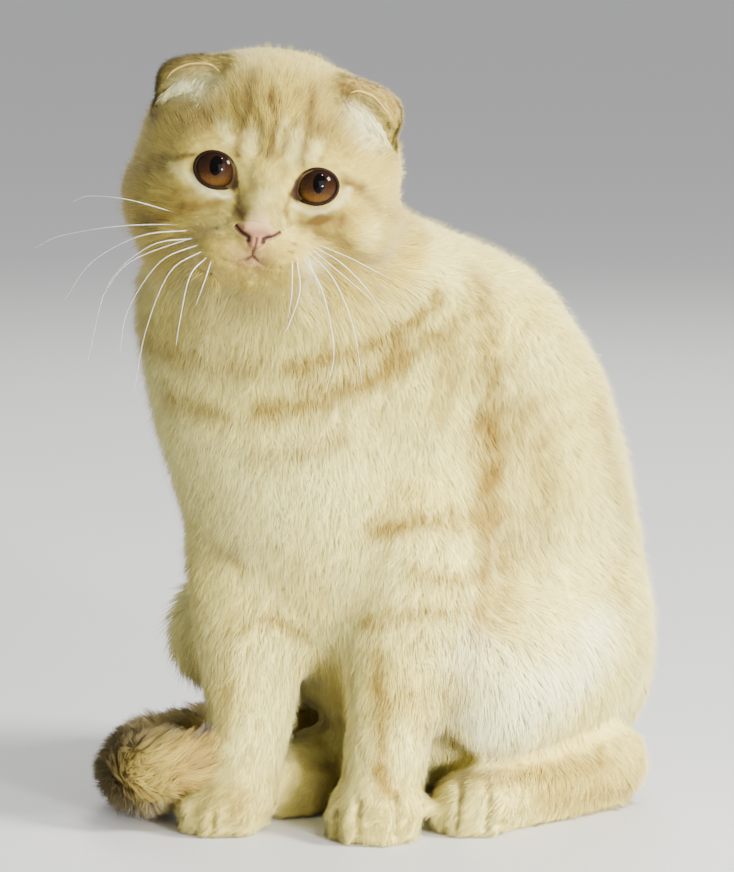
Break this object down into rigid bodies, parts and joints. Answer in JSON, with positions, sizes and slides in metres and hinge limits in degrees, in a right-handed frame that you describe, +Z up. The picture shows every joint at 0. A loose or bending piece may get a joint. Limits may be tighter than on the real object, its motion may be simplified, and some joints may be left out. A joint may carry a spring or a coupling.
{
  "type": "sitting fold-eared cat model",
  "caption": "Still life-size fold-eared cat sitting upright with its tail round one forepaw; stands on its rump, feet and tail as a table-top figure or a scene prop",
  "frame": {"origin": "Middle of the bounding box at floor level, below the cat's chest, on the plane of the flats it sits on.", "axes": "+Z is up. The chest looks along -Y and the cat's own left side is +X. The head is turned 40 degrees from -Y towards +X."},
  "size_m": [0.2068, 0.2678, 0.3268],
  "materials": {
    "abdomen": "matte",
    "chest": "matte",
    "ear_left": "matte",
    "ear_right": "matte",
    "eye_left": "gloss",
    "eye_right": "gloss",
    "foreleg_left": "matte",
    "foreleg_right": "matte",
    "forepaw_left": "matte",
    "forepaw_right": "matte",
    "head": "matte",
    "hind_foot_left": "matte",
    "hind_foot_right": "matte",
    "neck": "matte",
    "nose": "satin",
    "tail_1": "matte",
    "tail_2": "matte",
    "tail_3": "matte",
    "tail_4": "matte",
    "thigh_left": "matte",
    "thigh_right": "matte"
  },
  "bodies": {
    "root": {"abdomen": "abdomen", "chest": "chest", "ear_left": "ear_left", "ear_right": "ear_right", "eye_left": "eye_left", "eye_right": "eye_right", "foreleg_left": "foreleg_left", "foreleg_right": "foreleg_right", "forepaw_left": "forepaw_left", "forepaw_right": "forepaw_right", "head": "head", "hind_foot_left": "hind_foot_left", "hind_foot_right": "hind_foot_right", "neck": "neck", "nose": "nose", "tail_1": "tail_1", "tail_2": "tail_2", "tail_3": "tail_3", "tail_4": "tail_4", "thigh_left": "thigh_left", "thigh_right": "thigh_right"}
  },
  "joints": []
}
